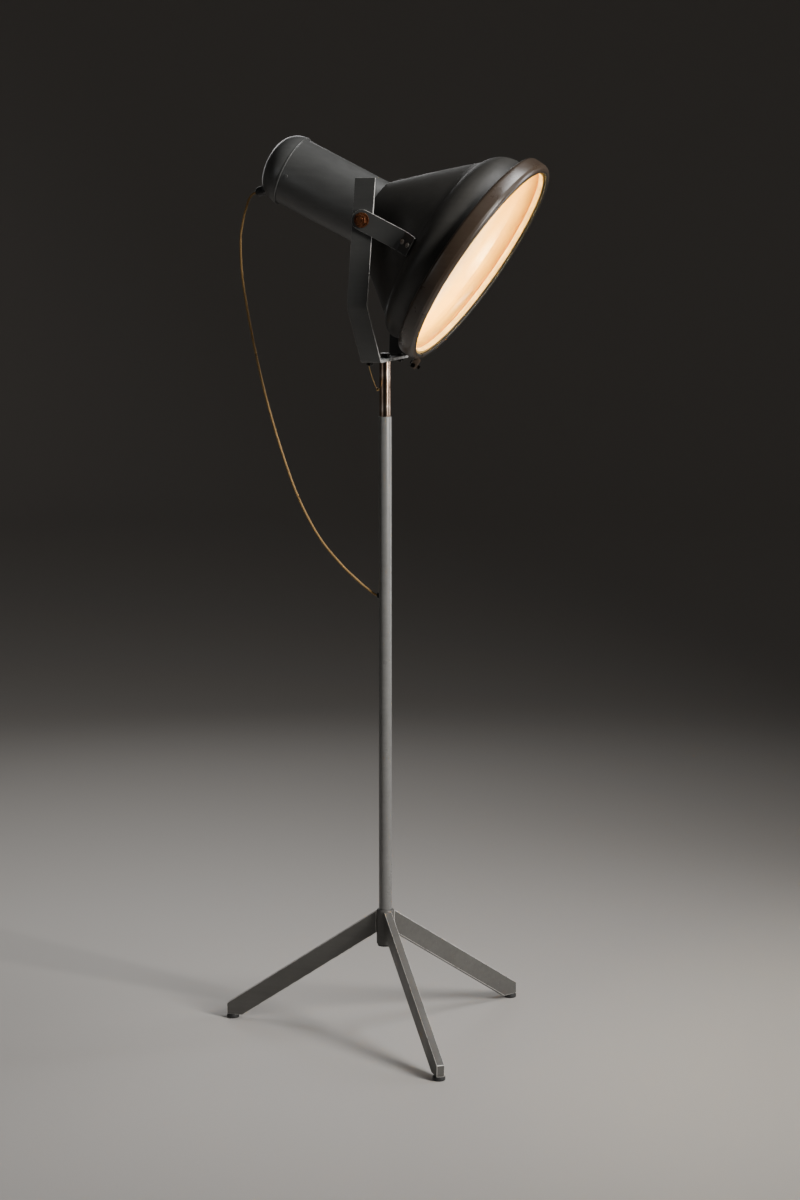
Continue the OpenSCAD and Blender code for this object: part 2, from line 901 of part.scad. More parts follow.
module bulb_cap() {
    color(brass_c)
        at_head()
            spun([[-81, 0], [-81, 5], [-77, 12], [-75, 13.5], [-50, 13.5], [-50, 11.5], [-75, 11.5],
                [-79, 4], [-79, 0]]);
}

bulb_line = concat([[-50, 12.5], [-44, 15], [-30, 24]], arc([14, 0], 39, 130, 0, 14));

module bulb() {
    color([1, 0.9, 0.7, 0.6])
        at_head()
            spun(concat(bulb_line, [for (i = [len(bulb_line) - 1:-1:0])
                let (v = bulb_line[i]) [v[0] - (i == len(bulb_line) - 1 ? 1 : 0), max(v[1] - 1, 0)]]));
}

module terminal_block() {
    color(white_c)
        at_head()
            translate([-126, -16, -34])
                cube([24, 32, 14]);
}

// Inside lead from the gland to the terminal block, in the head's middle plane
gland_in_s = gland_s + 10 * cos(gland_dir);
gland_in_z = gland_z + 10 * sin(gland_dir);
head_lead_route = [[gland_in_s, 0, gland_in_z], [gland_in_s + 10, 0, gland_in_z + 6],
    [gland_in_s + 28, 0, gland_in_z + 11], [-180, 0, -30], [-150, 0, -27], [-126, 0, -27]];

module head_lead() {
    color(cord_c)
        at_head()
            swept(head_lead_route, cord_r, 10);
}

holder_route = [[-118, 0, -20], [-118, 0, -12], [-114, 0, -5], [-107, 0, -1], [-93, 0, 0]];

module holder_wires() {
    color(white_c)
        at_head()
            for (m = [-1, 1])
                translate([0, m * 4, 0])
                    swept(holder_route, 1.2, 8);
}

// ---------- free cord ----------

tip_s = gland_s - gland_tip * cos(gland_dir);
tip_z = gland_z - gland_tip * sin(gland_dir);
cord_start = [tip_s * cos(tilt) + tip_z * sin(tilt), 0,
    pivot_z - tip_s * sin(tilt) + tip_z * cos(tilt)];
cord_route = [cord_start, cord_start + [-7, 0, -2.2], [-267, 0, 1596], [-272, 0, 1581],
    [-278, 0, 1560], [-284, 0, 1522], [-282, 0, 1460], [-272, 0, 1390], [-255, 0, 1305],
    [-235, 0, 1221], [-208, 0, 1130], [-173, 0, 1035], [-132, 0, 960], [-90, 0, 910],
    [-54, 0, 877], [-32, 0, 860], [-22, 0, entry_z + 3], [-pole_r - 2.5, 0, entry_z]];
cord_line = concat(spline(cord_route, 4), [cord_route[len(cord_route) - 1]]);
cut_one = 32;
cut_two = 44;
cut_gap = 0.03;

module cord_piece(a, b) {
    color(cord_c)
        swept(cord_line, cord_r, 10, a, b, cut_gap);
}

module cord_upper() {
    cord_piece(0, cut_one);
}

module cord_middle() {
    cord_piece(cut_one, cut_two);
}

module cord_lower() {
    cord_piece(cut_two, len(cord_line) - 1);
}

hub();
hub_plug();
leg_back();
leg_left();
leg_right();
glides();
pole();
pole_grommet();
lock_nut();
lock_screw();
pole_lead();
mast_bush();
mast();
mast_plug();
yoke();
yoke_washer();
yoke_bolt();
bond_bolts();
bond_nuts();
bond_screw();
bond_wire();
housing();
rear_cap();
housing_screws();
gland_body();
gland_nut();
shade();
clamp_ring();
gasket();
glass();
clamp_screw();
wing_nut();
strap_left();
strap_right();
strap_screws();
strap_nuts();
pivot_bolts();
pivot_washers();
pivot_nuts();
holder_plate();
lamp_holder();
bulb_cap();
bulb();
terminal_block();
head_lead();
holder_wires();
cord_upper();
cord_middle();
cord_lower();
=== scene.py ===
"""Looks of the tripod floor lamp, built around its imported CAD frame."""

import math

import bmesh
import bpy
from mathutils import Matrix, Vector


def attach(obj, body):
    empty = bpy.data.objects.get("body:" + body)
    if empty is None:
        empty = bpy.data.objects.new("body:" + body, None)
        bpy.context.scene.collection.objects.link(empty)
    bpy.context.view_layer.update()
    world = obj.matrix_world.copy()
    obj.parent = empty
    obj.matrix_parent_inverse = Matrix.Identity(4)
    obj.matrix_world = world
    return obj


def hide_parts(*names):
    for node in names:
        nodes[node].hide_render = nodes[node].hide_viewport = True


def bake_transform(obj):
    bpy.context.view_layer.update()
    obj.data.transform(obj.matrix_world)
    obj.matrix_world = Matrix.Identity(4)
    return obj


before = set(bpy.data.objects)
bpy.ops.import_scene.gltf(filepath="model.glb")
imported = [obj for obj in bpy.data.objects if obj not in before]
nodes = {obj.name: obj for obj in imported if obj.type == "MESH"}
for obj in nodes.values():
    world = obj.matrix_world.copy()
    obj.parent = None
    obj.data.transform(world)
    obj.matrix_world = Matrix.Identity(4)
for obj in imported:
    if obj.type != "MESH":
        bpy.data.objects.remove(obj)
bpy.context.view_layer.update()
MM = 0.001

# ---------- sizes from the CAD source, in millimetres ----------
TILT = 26.5
PIVOT_Z = 1559.0
HOUSING_R, HOUSING_BACK, SEAM_S, SHEET = 65.0, -208.0, -20.0, 1.6
HOUSING_BORE_R, HOUSING_RING = HOUSING_R - 1.5, -60.4  # ring of vertices on the straight wall
CAP_R, CAP_BACK, CAP_ROUND, CAP_FRONT = 67.5, -245.5, 42.5, -200.0
CAP_BEAD = 0.8
CONE_S, CONE_R = 112.0, 174.0
RIM_S, RIM_U, RIM_TILT = 189.0, 11.0, 7.5
CREASE_U, CREASE_TILT = 7.5, 4.5
RIM_NECK, RIM_NECK_R, FLANGE_R = -24.0, 194.5, 208.0
RING_R, RING_BACK, RING_FRONT, RING_OPEN = 216.0, -20.0, 16.0, 202.0
GASKET_FRONT, SEAL_R_IN, SEAL_R_OUT, SEAL_EASE = 10.0, 198, 208.8, 0.2
GLASS_R, GLASS_BACK, GLASS_FRONT = 198.4, 3, 7
EAR_X, EAR_Z, EAR_GAP, EAR_T = 12.0, 228.0, 4.0, 3.0
EAR_W, EAR_PAST, EAR_ROOT = 12.0, 6.0, 2.6
GLAND_DIR, GLAND_TIP, CORD_D = 44.0, 20.0, 4.5
BULB_BACK, BULB_S, BULB_R = -50, 14, 39
POLE_R, POLE_BORE_R, POLE_TOP, POLE_BOTTOM, ENTRY_Z = 12.5, 11.05, 1191.0, 176.0, 850.0
MAST_R, MAST_BOTTOM, YOKE_Z = 11.0, 1000.0, 1297.0
MAST_BORE_R = MAST_R - 1.5
BOND_X, BOND_Y, BOND_WIRE_R = -8.0, -78.0, 0.7

HEAD = Matrix.Translation((0, 0, PIVOT_Z * MM)) @ Matrix.Rotation(math.radians(TILT), 4, "Y")
RIM = (HEAD @ Matrix.Translation((RIM_S * MM, 0, RIM_U * MM))
       @ Matrix.Rotation(math.radians(RIM_TILT), 4, "Y"))
gland_s = CAP_BACK + CAP_ROUND - CAP_ROUND * math.cos(math.radians(GLAND_DIR))
gland_z = -(CAP_R - CAP_ROUND) - CAP_ROUND * math.sin(math.radians(GLAND_DIR))
GLAND = (HEAD @ Matrix.Translation((gland_s * MM, 0, gland_z * MM))
         @ Matrix.Rotation(math.radians(-GLAND_DIR), 4, "Y"))
UP = Matrix.Rotation(math.radians(-90), 4, "Y")

# ---------- camera ----------
AZIMUTH, PITCH, YAW = 15.7, 8.0, 0.30
CAMERA_REACH, CAMERA_HEIGHT = 5.367, 1.596
LENS, SENSOR = 85.5, 36
camera_data = bpy.data.cameras.new("camera")
camera_data.lens = LENS
camera_data.sensor_width = SENSOR
camera = bpy.data.objects.new("camera", camera_data)
bpy.context.scene.collection.objects.link(camera)
bpy.context.scene.camera = camera
camera.location = (CAMERA_REACH * math.sin(math.radians(AZIMUTH)),
                   -CAMERA_REACH * math.cos(math.radians(AZIMUTH)), CAMERA_HEIGHT)
camera.rotation_euler = (math.radians(90 - PITCH), 0, math.radians(AZIMUTH - YAW))


# ---------- materials ----------
class Surface:
    """A principled material with short calls for its texture nodes, in object coordinates."""

    def __init__(self, name, color, roughness, metallic=0.0, **sockets):
        self.material = bpy.data.materials.new(name)
        self.material.use_nodes = True
        self.tree = self.material.node_tree
        self.bsdf = self.tree.nodes["Principled BSDF"]
        self.set("Base Color", (*color, 1.0))
        self.set("Roughness", roughness)
        self.set("Metallic", metallic)
        for key, value in sockets.items():
            self.set(key.replace("_", " "), value)
        self.coords = self.tree.nodes.new("ShaderNodeTexCoord").outputs["Object"]
        self.normal = None

    def set(self, socket, value):
        self.bsdf.inputs[socket].default_value = value

    def link(self, a, b):
        self.tree.links.new(a, b)

    def around_along(self):
        """Places around and along a piece, in its own UV map."""
        uv = self.tree.nodes.new("ShaderNodeUVMap")
        uv.uv_map = "around_along"
        parts = self.tree.nodes.new("ShaderNodeSeparateXYZ")
        self.link(uv.outputs["UV"], parts.inputs["Vector"])
        return parts.outputs["X"], parts.outputs["Y"]

    def stretched(self, scale, turn=(0, 0, 0)):
        node = self.tree.nodes.new("ShaderNodeMapping")
        node.inputs["Rotation"].default_value = [math.radians(t) for t in turn]
        node.inputs["Scale"].default_value = scale
        self.link(self.coords, node.inputs["Vector"])
        return node.outputs["Vector"]

    def noise(self, scale, detail=4.0, rough=0.55, vector=None, distortion=0.0):
        node = self.tree.nodes.new("ShaderNodeTexNoise")
        node.inputs["Scale"].default_value = scale
        node.inputs["Detail"].default_value = detail
        node.inputs["Roughness"].default_value = rough
        node.inputs["Distortion"].default_value = distortion
        self.link(vector or self.coords, node.inputs["Vector"])
        return node.outputs["Fac"]

    def ramp(self, factor, stops):
        node = self.tree.nodes.new("ShaderNodeValToRGB")
        ramp = node.color_ramp
        while len(ramp.elements) < len(stops):
            ramp.elements.new(0.5)
        for element, (position, value) in zip(ramp.elements, stops):
            element.position = position
            rgb = value if isinstance(value, (tuple, list)) else (value,) * 3
            element.color = (*rgb, 1.0)
        self.link(factor, node.inputs["Fac"])
        return node.outputs["Color"]

    def mix(self, factor, a, b):
        node = self.tree.nodes.new("ShaderNodeMix")
        node.data_type = "RGBA"
        for value, socket in ((factor, node.inputs[0]), (a, node.inputs[6]), (b, node.inputs[7])):
            if isinstance(value, (int, float)):
                socket.default_value = value
            elif isinstance(value, tuple):
                socket.default_value = (*value, 1.0)
            else:
                self.link(value, socket)
        return node.outputs[2]

    def math(self, kind, a, b=0.0):
        node = self.tree.nodes.new("ShaderNodeMath")
        node.operation = kind
        for value, socket in ((a, node.inputs[0]), (b, node.inputs[1])):
            if isinstance(value, (int, float)):
                socket.default_value = value
            else:
                self.link(value, socket)
        return node.outputs[0]

    def color(self, socket):
        self.link(socket, self.bsdf.inputs["Base Color"])

    def roughness(self, factor, low, high):
        self.link(self.ramp(factor, [(0.3, low), (0.7, high)]), self.bsdf.inputs["Roughness"])

    def bump(self, height, distance, strength=1.0):
        node = self.tree.nodes.new("ShaderNodeBump")
        node.inputs["Distance"].default_value = distance
        node.inputs["Strength"].default_value = strength
        self.link(height, node.inputs["Height"])
        if self.normal is not None:
            self.link(self.normal, node.inputs["Normal"])
        self.normal = node.outputs["Normal"]
        self.link(self.normal, self.bsdf.inputs["Normal"])


def paint(name, dark, light, low, high, turn=(0, 0, 0), coat=0.0):
    """Old satin paint: cloudy tone, faint rub marks along one direction, fine orange peel."""
    s = Surface(name, light, high, Coat_Weight=coat, Coat_Roughness=0.25)
    clouds = s.noise(7, 5, 0.6)
    streaks = s.noise(1, 3, 0.6, s.stretched((6, 130, 130), turn))
    tone = s.mix(0.35, s.ramp(clouds, [(0.25, 0.0), (0.75, 1.0)]),
                 s.ramp(streaks, [(0.3, 0.0), (0.7, 1.0)]))
    base = s.mix(tone, dark, light)
    specks = s.ramp(s.noise(420, 2, 0.5), [(0.66, 0.0), (0.74, 1.0)])
    s.color(s.mix(s.math("MULTIPLY", specks, 0.25), base, tuple(min(1, c * 2.2) for c in light)))
    s.roughness(s.noise(24, 4, 0.6), low, high)
    s.bump(s.noise(900, 2, 0.5), 0.00006, 0.5)
    s.bump(s.noise(16, 2, 0.5), 0.0006, 0.12)
    return s.material


def worn_edge(name, coating, metal):
    """Edge where the paint has rubbed through to bright metal in places; where it covers a whole
    lit side it is a painted highlight.
    """
    s = Surface(name, metal, 0.3)
    bare = s.ramp(s.noise(85, 5, 0.7), [(0.36, 0.0), (0.5, 1.0)])
    s.color(s.mix(bare, coating, metal))
    s.link(s.math("MULTIPLY", bare, 0.3), s.bsdf.inputs["Metallic"])
    s.roughness(s.noise(300, 3), 0.25, 0.45)
    s.bump(s.noise(500, 3), 0.0001, 0.5)
    return s.material


def bare_metal(name, dark, light, low, high, scale=30):
    """Bare metal with tarnish clouds."""
    s = Surface(name, light, high, 1.0)
    tarnish = s.ramp(s.noise(scale, 6, 0.65, distortion=0.6), [(0.32, 0.0), (0.68, 1.0)])
    s.color(s.mix(tarnish, dark, light))
    s.roughness(s.noise(scale * 2.4, 5, 0.6), low, high)
    s.bump(s.noise(700, 3), 0.00004, 0.5)
    return s.material


def rust(name):
    """Rusty steel in dark and light brown patches."""
    s = Surface(name, (0.3, 0.12, 0.05), 0.4, 0.75)
    patches = s.noise(140, 6, 0.7, distortion=0.4)
    s.color(s.ramp(patches, [(0.3, (0.035, 0.012, 0.006)), (0.5, (0.13, 0.045, 0.018)),
                             (0.7, (0.34, 0.14, 0.06))]))
    s.roughness(s.noise(200, 4), 0.24, 0.5)
    s.bump(s.noise(650, 5, 0.7), 0.00025, 0.7)
    return s.material


def mast_metal(name):
    """Bare steel mast: brown tint, faint scuff rings and brighter rubbed patches."""
    s = Surface(name, (0.42, 0.33, 0.27), 0.25, 1.0)
    rubbed = s.ramp(s.noise(1, 5, 0.6, s.stretched((8, 8, 30)), 0.3),
                    [(0.3, (0.15, 0.095, 0.065)), (0.52, (0.27, 0.195, 0.15)),
                     (0.7, (0.42, 0.34, 0.29))])
    rings = s.ramp(s.noise(1, 3, 0.8, s.stretched((3, 3, 420))), [(0.55, 0.0), (0.72, 1.0)])
    s.color(s.mix(s.math("MULTIPLY", rings, 0.35), rubbed, (0.10, 0.055, 0.035)))
    s.roughness(s.noise(1, 5, 0.7, s.stretched((40, 40, 120))), 0.16, 0.26)
    s.bump(s.noise(1, 4, 0.7, s.stretched((14, 14, 700))), 0.00005, 0.3)
    return s.material


def rubber(name, color, low=0.45, high=0.65):
    """Rubber or plastic with a fine grain and a faint bloom."""
    s = Surface(name, color, high)
    s.color(s.mix(s.ramp(s.noise(40, 5), [(0.3, 0.0), (0.7, 1.0)]), color,
                  tuple(min(1, c * 1.7 + 0.004) for c in color)))
    s.roughness(s.noise(120, 4), low, high)
    s.bump(s.noise(1100, 3), 0.00006, 0.6)
    return s.material


def braid(name):
    """Braided textile: two crossing sets of strands that follow the tube, with painted shade in the
    grooves between them.
    """
    s = Surface(name, (0.42, 0.24, 0.07), 0.62, Sheen_Weight=0.25, Sheen_Roughness=0.4)
    around, along = s.around_along()
    waves = []
    for sign in (1, -1):
        turned = s.math("ADD", s.math("MULTIPLY", around, 6.0 * math.pi),
                        s.math("MULTIPLY", along, sign * 1500.0))
        waves.append(s.math("ABSOLUTE", s.math("SINE", turned)))
    weave = s.math("MAXIMUM", waves[0], waves[1])
    cloud = s.noise(60, 4, 0.6)
    # Colour follows the weave height: darker in the grooves between strands and lighter on their
    # crowns, a painted shade and highlight.
    strand_and_groove_shade = s.ramp(weave, [(0.55, (0.06, 0.028, 0.007)), (0.8, (0.22, 0.12, 0.03)),
                            (1.0, (0.36, 0.21, 0.06))])
    s.color(s.mix(s.ramp(cloud, [(0.35, 0.0), (0.75, 0.45)]), strand_and_groove_shade, (0.42, 0.26, 0.09)))
    s.bump(weave, 0.0004, 0.8)
    s.bump(s.noise(2600, 2), 0.00005, 0.6)
    return s.material


def lamp_white(name):
    """Cream enamel inside the shade, with painted shade in it: deepening to orange towards the rim,
    where the shoulder keeps the bulb's light off, and dark lines at the crease.
    """
    s = Surface(name, (0.93, 0.88, 0.78), 0.34, Coat_Weight=0.25, Coat_Roughness=0.2)
    along = s.around_along()[1]
    stain = s.noise(8, 7, 0.72, distortion=0.8)
    fine = s.noise(90, 5, 0.7)
    # Painted shade: the enamel turns orange from the crease to the rim, standing in for the
    # fall-off of the bulb's light.
    rim_shade = s.ramp(s.math("MULTIPLY", s.math("ADD", along, 0.01), 20.0), [(0.0, 0.0), (0.9, 1.0)])
    base = s.mix(rim_shade, (0.96, 0.96, 0.94), (0.86, 0.44, 0.045))
    base = s.mix(s.ramp(stain, [(0.45, 0.0), (0.72, 0.7)]), base, (0.62, 0.28, 0.03))
    base = s.mix(s.ramp(fine, [(0.55, 0.0), (0.8, 0.3)]), base, (0.62, 0.34, 0.06))
    lines = s.tree.nodes.new("ShaderNodeTexNoise")
    lines.noise_dimensions = "1D"
    lines.inputs["Scale"].default_value = 260
    lines.inputs["Detail"].default_value = 2
    s.link(along, lines.inputs["W"])
    # Painted shade of the crease: dark lines in a narrow band on either side of it.
    crease_shade_band = s.ramp(s.math("MULTIPLY", s.math("ABSOLUTE", along), 40.0), [(0.3, 1.0), (0.8, 0.0)])
    painted_crease_shade = s.math("MULTIPLY", crease_shade_band, s.ramp(lines.outputs["Fac"], [(0.5, 0.0), (0.56, 1.0)]))
    s.color(s.mix(s.math("MULTIPLY", painted_crease_shade, 0.8), base, (0.10, 0.04, 0.01)))
    s.roughness(s.noise(50, 4), 0.28, 0.48)
    s.bump(lines.outputs["Fac"], 0.0006, 0.25)
    s.bump(s.noise(60, 5, 0.7), 0.0004, 0.25)
    return s.material


def clear_glass(name):
    """Thin clear pane: nearly all light passes, and a faint glossy film grows with the angle."""
    m = bpy.data.materials.new(name)
    m.use_nodes = True
    t = m.node_tree
    t.nodes.clear()
    out = t.nodes.new("ShaderNodeOutputMaterial")
    clear = t.nodes.new("ShaderNodeBsdfTransparent")
    clear.inputs["Color"].default_value = (0.97, 0.98, 0.96, 1)
    gloss = t.nodes.new("ShaderNodeBsdfGlossy")
    gloss.inputs["Roughness"].default_value = 0.04
    weight = t.nodes.new("ShaderNodeLayerWeight")
    weight.inputs["Blend"].default_value = 0.5
    film = t.nodes.new("ShaderNodeMapRange")
    film.inputs["From Min"].default_value = 0.3
    film.inputs["To Min"].default_value = 0.015
    film.inputs["To Max"].default_value = 0.09
    blend = t.nodes.new("ShaderNodeMixShader")
    t.links.new(weight.outputs["Facing"], film.inputs["Value"])
    t.links.new(film.outputs["Result"], blend.inputs["Fac"])
    t.links.new(clear.outputs["BSDF"], blend.inputs[1])
    t.links.new(gloss.outputs["BSDF"], blend.inputs[2])
    t.links.new(blend.outputs["Shader"], out.inputs["Surface"])
    return m


def glowing(name, color, strength):
    """Bulb glass that gives light."""
    s = Surface(name, (0.95, 0.9, 0.8), 0.35, Emission_Strength=strength)
    s.set("Emission Color", (*color, 1.0))
    s.bump(s.noise(200, 3), 0.00005, 0.4)
    return s.material


HEAD_TURN = (0, -TILT, 0)
M = {
    "housing": paint("housing_paint", (0.050, 0.051, 0.051), (0.080, 0.082, 0.081), 0.30, 0.42,
                     HEAD_TURN, coat=0.15),
    "enamel": paint("charcoal_enamel", (0.022, 0.021, 0.019), (0.040, 0.038, 0.034), 0.42, 0.58,
                    HEAD_TURN),
    # Brownish rim enamel: partly worn paint, partly a painted warm reflection.
    "rim": paint("rim_enamel_and_warm_reflection", (0.034, 0.020, 0.012), (0.056, 0.042, 0.031), 0.24, 0.38,
                 HEAD_TURN, coat=0.3),
    # Near-black enamel standing for the painted shade on the ring's inner front lip.
    "lip": paint("lip_painted_shade", (0.004, 0.0035, 0.003), (0.009, 0.008, 0.007), 0.6, 0.75),
    "bar": paint("bar_paint", (0.040, 0.041, 0.040), (0.064, 0.065, 0.063), 0.36, 0.50,
                 (0, 90, 0)),
    # Worn edges, also used as the painted highlight on the lit thin sides of the yoke and straps.
    "bar_edge": worn_edge("bar_worn_edge_and_highlight", (0.14, 0.14, 0.138), (0.70, 0.69, 0.67)),
    "pole": paint("pole_paint", (0.125, 0.125, 0.122), (0.185, 0.185, 0.18), 0.26, 0.38,
                  (0, 90, 0), coat=0.15),
    "leg": paint("leg_paint", (0.060, 0.058, 0.054), (0.105, 0.102, 0.096), 0.32, 0.48, (0, 90, 0)),
    "leg_edge": worn_edge("leg_worn_edge", (0.22, 0.215, 0.20), (0.72, 0.70, 0.67)),
    "mast": mast_metal("mast_steel"),
    "steel": bare_metal("bright_steel", (0.30, 0.28, 0.26), (0.62, 0.60, 0.57), 0.22, 0.42),
    "black_steel": bare_metal("black_oxide", (0.03, 0.028, 0.026), (0.09, 0.085, 0.08), 0.14, 0.3),
    "rust": rust("rusty_steel"),
    "brass": bare_metal("brass", (0.42, 0.26, 0.09), (0.80, 0.58, 0.26), 0.2, 0.4, 60),
    "rubber": rubber("black_rubber", (0.014, 0.014, 0.014)),
    "plastic": rubber("black_plastic", (0.012, 0.012, 0.012), 0.35, 0.5),
    "white": rubber("white_plastic", (0.62, 0.60, 0.55), 0.3, 0.45),
    "seal": rubber("cream_seal", (0.50, 0.30, 0.085), 0.4, 0.6),
    "braid": braid("cord_braid"),
    "inside": lamp_white("cream_enamel_with_painted_shade"),
    "glass": clear_glass("clear_glass"),
    "bulb": glowing("bulb_glow", (1.0, 0.86, 0.52), 230.0),
}


# ---------- mesh helpers ----------
SHARP = 32.0


def add_object(name, mesh, body, materials, node, smooth=SHARP):
    """Links a finished mesh, shades it smooth up to an angle, and hangs it on its body."""
    obj = bpy.data.objects.new(name, mesh)
    bpy.context.scene.collection.objects.link(obj)
    for m in materials:
        mesh.materials.append(M[m])
    mesh.shade_smooth()
    mesh.set_sharp_from_angle(angle=math.radians(smooth))
    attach(obj, body)
    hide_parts(node)
    return obj


def mesh_of(bm, name):
    bmesh.ops.recalc_face_normals(bm, faces=bm.faces)
    mesh = bpy.data.meshes.new(name)
    bm.to_mesh(mesh)
    bm.free()
    return mesh


def rounded(outline, radius, steps=3, closed=True):
    """Outline with every corner of more than 12 degrees rounded by up to radius."""
    made, count = [], len(outline)
    for i in range(count):
        if not closed and i in (0, count - 1):
            made.append(outline[i])
            continue
        a, b, c = (Vector(outline[(i + k) % count]) for k in (-1, 0, 1))
        u, v = a - b, c - b
        turn = math.pi - u.angle(v)
        if turn < math.radians(12):
            made.append(tuple(b))
            continue
        cut = min(radius * math.tan(turn / 2), 0.42 * u.length, 0.42 * v.length)
        p, q = b + u.normalized() * cut, b + v.normalized() * cut
        for k in range(steps + 1):
            t = k / steps
            made.append(tuple(p * (1 - t) ** 2 + b * 2 * t * (1 - t) + q * t * t))
    return made


def spun(outline, place, sides=128, start=0.0, end=360.0, second=None):
    """Closed outline of (axial, radius) points turned about X; second marks another finish."""
    bm = bmesh.new()
    full = end - start >= 360
    count = sides if full else sides + 1
    rings = []
    for i in range(count):
        a = math.radians(start + (end - start) * i / sides)
        rings.append([bm.verts.new(place @ Vector((x * MM, -r * math.sin(a) * MM,
                                                   r * math.cos(a) * MM)))
                      for x, r in outline])
    size = len(outline)
    for i in range(sides):
        one, two = rings[i], rings[(i + 1) % count]
        for k in range(size):
            m = (k + 1) % size
            if outline[k][1] < 1e-6 and outline[m][1] < 1e-6:
                continue
            face = bm.faces.new((one[k], one[m], two[m], two[k]))
            if second and second[k]:
                face.material_index = 1
    if not full:
        bm.faces.new(rings[0])
        bm.faces.new(reversed(rings[-1]))
    bmesh.ops.remove_doubles(bm, verts=bm.verts, dist=1e-6)
    return bm


def arc(cx, cr, radius, a, b, steps):
    return [(cx + radius * math.cos(math.radians(a + (b - a) * i / steps)),
             cr + radius * math.sin(math.radians(a + (b - a) * i / steps)))
            for i in range(steps + 1)]


def refined(node, body, materials, bevel, lit_and_worn_face):
    """A copy of a CAD solid with its sharp edges rounded. The rounding, and the faces whose normal
    passes a test, can take a second finish: worn paint, and on the yoke's +X side and the straps'
    thin sides also a painted highlight where the light falls."""
    bm = bmesh.new()
    bm.from_mesh(nodes[node].data)
    bmesh.ops.remove_doubles(bm, verts=bm.verts, dist=2e-6)
    bmesh.ops.dissolve_limit(bm, angle_limit=math.radians(0.8), verts=bm.verts, edges=bm.edges)
    sharp = [e for e in bm.edges
             if len(e.link_faces) == 2 and e.calc_face_angle(0) > math.radians(SHARP)]
    bmesh.ops.bevel(bm, geom=sharp, offset=bevel * MM, segments=2, profile=0.5,
                    affect="EDGES", clamp_overlap=True,
                    material=1 if len(materials) > 1 else 0)
    for face in bm.faces:
        if lit_and_worn_face and lit_and_worn_face(face.normal):
            face.material_index = 1
    mesh = mesh_of(bm, node + "_fine")
    obj = add_object(node + "_fine", mesh, body, materials, node, 40)
    normals = obj.modifiers.new("normals", "WEIGHTED_NORMAL")
    normals.keep_sharp = True


def spline(points, steps):
    """Catmull-Rom curve through points, ending on the last one."""
    made = []
    for i in range(len(points) - 1):
        a, b, c, d = (points[max(0, min(len(points) - 1, i + k))] for k in (-1, 0, 1, 2))
        for k in range(steps):
            t = k / steps
            made.append(0.5 * (2 * b + (c - a) * t + (2 * a - 5 * b + 4 * c - d) * t * t
                               + (3 * b - 3 * c + d - a) * t ** 3))
    return made + [points[-1]]


def tube(line, radius, sides=16, first=0, last=None):
    """Closed tube along part of a line, with coordinates around and along it for a weave."""
    last = len(line) - 1 if last is None else last
    bm = bmesh.new()
    uv = bm.loops.layers.uv.new("around_along")
    side = Vector((0, 1, 0)) if abs((line[1] - line[0]).normalized().y) < 0.9 else Vector((1, 0, 0))
    rings, travelled, length = [], [], 0.0
    for i, p in enumerate(line):
        t = (line[min(i + 1, len(line) - 1)] - line[max(i - 1, 0)]).normalized()
        side = (side - t * side.dot(t)).normalized()
        up = t.cross(side)
        if i:
            length += (p - line[i - 1]).length
        travelled.append(length)
        if first <= i <= last:
            rings.append([bm.verts.new(p + radius * (side * math.cos(2 * math.pi * k / sides)
                                                     + up * math.sin(2 * math.pi * k / sides)))
                          for k in range(sides)])
    for i in range(last - first):
        for k in range(sides):
            m = (k + 1) % sides
            face = bm.faces.new((rings[i][k], rings[i][m], rings[i + 1][m], rings[i + 1][k]))
            marks = ((k, i), (k + 1, i), (k + 1, i + 1), (k, i + 1))
            for loop, (around, along) in zip(face.loops, marks):
                loop[uv].uv = (around / sides, travelled[first + along])
    bm.faces.new(reversed(rings[0]))
    bm.faces.new(rings[-1])
    return bm


# ---------- cord ----------
def millimetres(x, z):
    return Vector((x * MM, 0, z * MM))


gland_end = GLAND @ Vector((-GLAND_TIP * MM, 0, 0))
route = [gland_end, gland_end + millimetres(-7, -2.2)]
route += [millimetres(x, z) for x, z in (
    (-267, 1596), (-272, 1581), (-278, 1560), (-284, 1522), (-282, 1460), (-272, 1390),
    (-255, 1305), (-235, 1221), (-208, 1130), (-173, 1035), (-132, 960), (-90, 910), (-54, 877),
    (-32, 860), (-22, ENTRY_Z + 3), (-POLE_R - 2.5, ENTRY_Z))]
CORD_STEPS = 8
cord_line = spline(route, CORD_STEPS)
CUT_ONE, CUT_TWO = 8 * CORD_STEPS, 11 * CORD_STEPS
for name, first, last, upper, lower in (
        ("cord_upper", 0, CUT_ONE, "head", "mast"),
        ("cord_middle", CUT_ONE, CUT_TWO, "mast", "mast_bush"),
        ("cord_lower", CUT_TWO, len(cord_line) - 1, "mast_bush", "stand")):
    mesh = mesh_of(tube(cord_line, CORD_D / 2 * MM, 16, first, last), name + "_braided")
    cord = bpy.data.objects.new(name + "_braided", mesh)
    bpy.context.scene.collection.objects.link(cord)
    mesh.materials.append(M["braid"])
    mesh.shade_smooth()
    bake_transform(cord)
    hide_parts(name)


# ---------- shade ----------
def between(a, b, k):
    return tuple(p + (q - p) * k for p, q in zip(a, b))


COS_RIM, SIN_RIM = math.cos(math.radians(RIM_TILT)), math.sin(math.radians(RIM_TILT))
CREASE_AT = (CONE_S, CREASE_U, CREASE_TILT)
RIM_NECK_AT = (RIM_S + RIM_NECK * COS_RIM, RIM_U - RIM_NECK * SIN_RIM, RIM_TILT)


